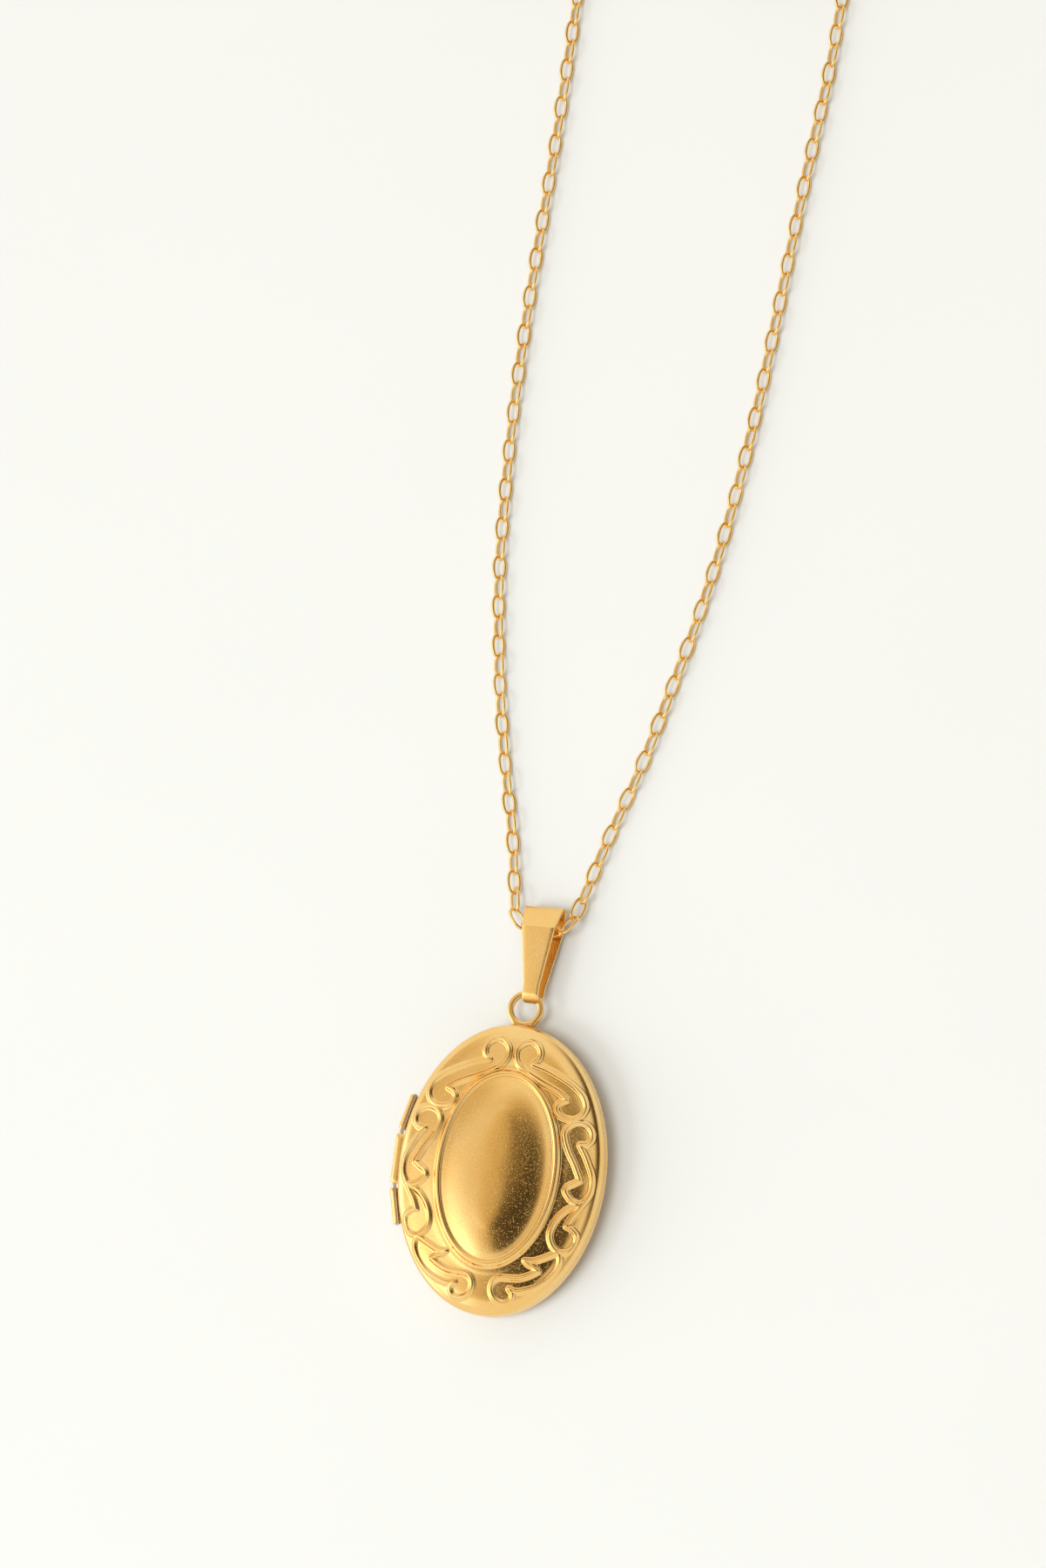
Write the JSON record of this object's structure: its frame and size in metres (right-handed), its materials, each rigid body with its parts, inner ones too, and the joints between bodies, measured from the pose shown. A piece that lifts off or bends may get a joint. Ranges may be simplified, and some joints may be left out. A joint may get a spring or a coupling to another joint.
{
  "type": "locket necklace",
  "caption": "Oval hinged locket with embossed scrolls around a plain medallion, folded ribbon bail and fine cable chain with a lobster clasp.",
  "frame": {"origin": "middle of the back cover's flat resting face", "axes": "+Y along the locket's long axis towards its bail, +Z out of the embossed front cover, +X away from the hinge"},
  "size_m": [0.0459, 0.1515, 0.005],
  "materials": {
    "gold_plate": "satin gold plating over steel",
    "gold_chain": "bright gold plating",
    "bare_steel": "bright drawn wire",
    "window": "clear film",
    "card": "blank paper card"
  },
  "bodies": {
    "chain": {"chain_bight": "gold_chain", "chain_left": "gold_chain", "chain_right": "gold_chain", "chain_tail_left": "gold_chain", "chain_tail_right": "gold_chain", "chain_coil_left": "gold_chain", "chain_coil_right": "gold_chain"},
    "bail_loop": {"bail": "gold_plate"},
    "locket_back": {"back_cover": "gold_plate", "back_photo_card": "card", "back_photo_window": "window", "back_photo_frame": "gold_plate", "bail_eye": "gold_plate", "hinge_pin": "bare_steel", "hinge_knuckle_upper": "gold_plate", "hinge_knuckle_lower": "gold_plate"},
    "locket_front": {"front_cover": "gold_plate", "front_photo_card": "card", "front_photo_window": "window", "front_photo_frame": "gold_plate", "snap_rim": "gold_plate", "hinge_knuckle_middle": "gold_plate"},
    "clasp_ring": {"clasp_jump_ring": "gold_chain"},
    "clasp": {"clasp_body": "gold_plate", "clasp_rivet": "gold_plate", "clasp_spring": "bare_steel"},
    "clasp_gate": {"clasp_lever": "gold_plate"},
    "chain_end": {"end_ring": "gold_chain"}
  },
  "joints": [
    {"name": "bail_swing", "type": "hinge", "parent": "chain", "child": "bail_loop", "pos_m": [0.00037, 0.02235, 0.00165], "axis": [-0.987, 0.049, -0.153], "range_deg": [-90, 90]},
    {"name": "locket_swing", "type": "hinge", "parent": "bail_loop", "child": "locket_back", "pos_m": [0, 0.01627, 0.00204], "axis": [-1, 0, 0], "range_deg": [-90, 90]},
    {"name": "cover_hinge", "type": "hinge", "parent": "locket_back", "child": "locket_front", "pos_m": [-0.01005, 0, 0.0024], "axis": [0, -1, 0], "range_deg": [0, 150]},
    {"name": "clasp_ring_swing", "type": "hinge", "parent": "chain", "child": "clasp_ring", "pos_m": [-0.00305, 0.1354, 0.00123], "axis": [0, 1, 0], "range_deg": [-35, 35]},
    {"name": "clasp_swing", "type": "hinge", "parent": "clasp_ring", "child": "clasp", "pos_m": [-0.0021, 0.1354, 0.00113], "axis": [0, 1, 0], "range_deg": [-60, 60]},
    {"name": "clasp_lever_press", "type": "hinge", "parent": "clasp", "child": "clasp_gate", "pos_m": [0.00168, 0.1366, 0.00113], "axis": [0, 0, -1], "range_deg": [0, 24], "stiffness_Nm_per_rad": 0.005, "springref_deg": -5.73},
    {"name": "end_ring_swing", "type": "hinge", "parent": "chain", "child": "chain_end", "pos_m": [0.0169, 0.13355, 0.00038], "axis": [1, 0, 0], "range_deg": [-80, 80]}
  ]
}
